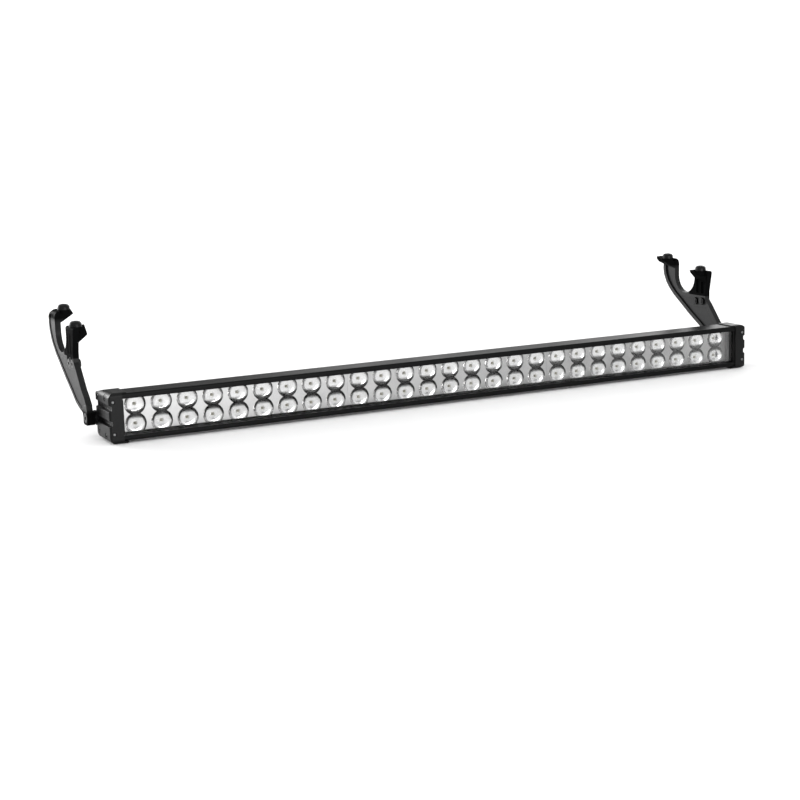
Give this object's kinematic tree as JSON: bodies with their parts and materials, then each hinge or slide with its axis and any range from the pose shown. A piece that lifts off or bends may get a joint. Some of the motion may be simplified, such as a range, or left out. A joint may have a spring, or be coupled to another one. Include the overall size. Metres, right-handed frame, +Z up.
{
  "type": "light bar",
  "caption": "Straight double-row LED light bar with end caps and a pair of pivoting fork arms that saddle a round tube.",
  "frame": {"origin": "middle of the bounding box's footprint, on the surface that the end caps stand on", "axes": "+X runs along the bar, -Y is the lit front, +Z is up"},
  "size_m": [1.016, 0.217, 0.1579],
  "materials": {
    "black_powder_coat": "satin, fine powder coat",
    "black_extrusion": "black anodised, satin",
    "black_casting": "black powder coat over a casting",
    "grey_casting": "graphite coat, satin",
    "clear_lens": "clear, polished",
    "chrome_optic": "vacuum metallised mirror",
    "circuit_board": "white solder mask",
    "driver_green": "solder mask",
    "component_dark": "matt",
    "emitter": "phosphor",
    "black_rubber": "matt",
    "black_nylon": "matt",
    "membrane": "matt",
    "bright_screw": "stainless",
    "dark_screw": "dark zinc",
    "black_screw": "black oxide"
  },
  "bodies": {
    "light_bar": {"housing": "black_extrusion", "lens": "clear_lens", "lens_gasket": "black_rubber", "reflector_left": "chrome_optic", "reflector_centre": "chrome_optic", "reflector_right": "chrome_optic", "led_board_left": "circuit_board", "led_board_centre": "circuit_board", "led_board_right": "circuit_board", "led_emitters_left": "emitter", "led_emitters_centre": "emitter", "led_emitters_right": "emitter", "board_screws": "bright_screw", "driver_board": "driver_green", "driver_chokes": "component_dark", "driver_capacitors": "component_dark", "end_gasket_left": "black_rubber", "end_gasket_right": "black_rubber", "end_cap_left": "black_casting", "end_cap_right": "black_casting", "cap_side_screws_left": "black_screw", "cap_side_screws_right": "black_screw", "cap_front_screws_left": "dark_screw", "cap_front_screws_right": "dark_screw", "gland_body": "black_nylon", "gland_seal": "black_rubber", "gland_nut": "black_nylon", "gland_locknut": "black_nylon", "vent_plug": "black_nylon", "vent_membrane": "membrane", "pivot_lug_left": "black_casting", "pivot_lug_right": "black_casting", "lug_screws_left": "black_screw", "lug_screws_right": "black_screw", "pivot_washers_left": "black_screw", "pivot_washers_right": "black_screw", "pivot_bolt_left": "black_screw", "pivot_bolt_right": "black_screw", "pivot_nut_left": "black_screw", "pivot_nut_right": "black_screw"},
    "arm_left": {"arm_left": "grey_casting", "jaw_left": "black_powder_coat", "jaw_screws_left": "black_screw", "jaw_nuts_left": "black_screw", "tab_bolts_left": "black_screw", "tab_washers_left": "black_screw"},
    "arm_right": {"arm_right": "grey_casting", "jaw_right": "black_powder_coat", "jaw_screws_right": "black_screw", "jaw_nuts_right": "black_screw", "tab_bolts_right": "black_screw", "tab_washers_right": "black_screw"}
  },
  "joints": [
    {"name": "arm_left_pivot", "type": "hinge", "parent": "light_bar", "child": "arm_left", "pos_m": [-0.503, -0.043, 0.0255], "axis": [1, 0, 0], "range_deg": [-75, 75]},
    {"name": "arm_right_pivot", "type": "hinge", "parent": "light_bar", "child": "arm_right", "pos_m": [0.503, -0.043, 0.0255], "axis": [1, 0, 0], "range_deg": [-75, 75]}
  ]
}
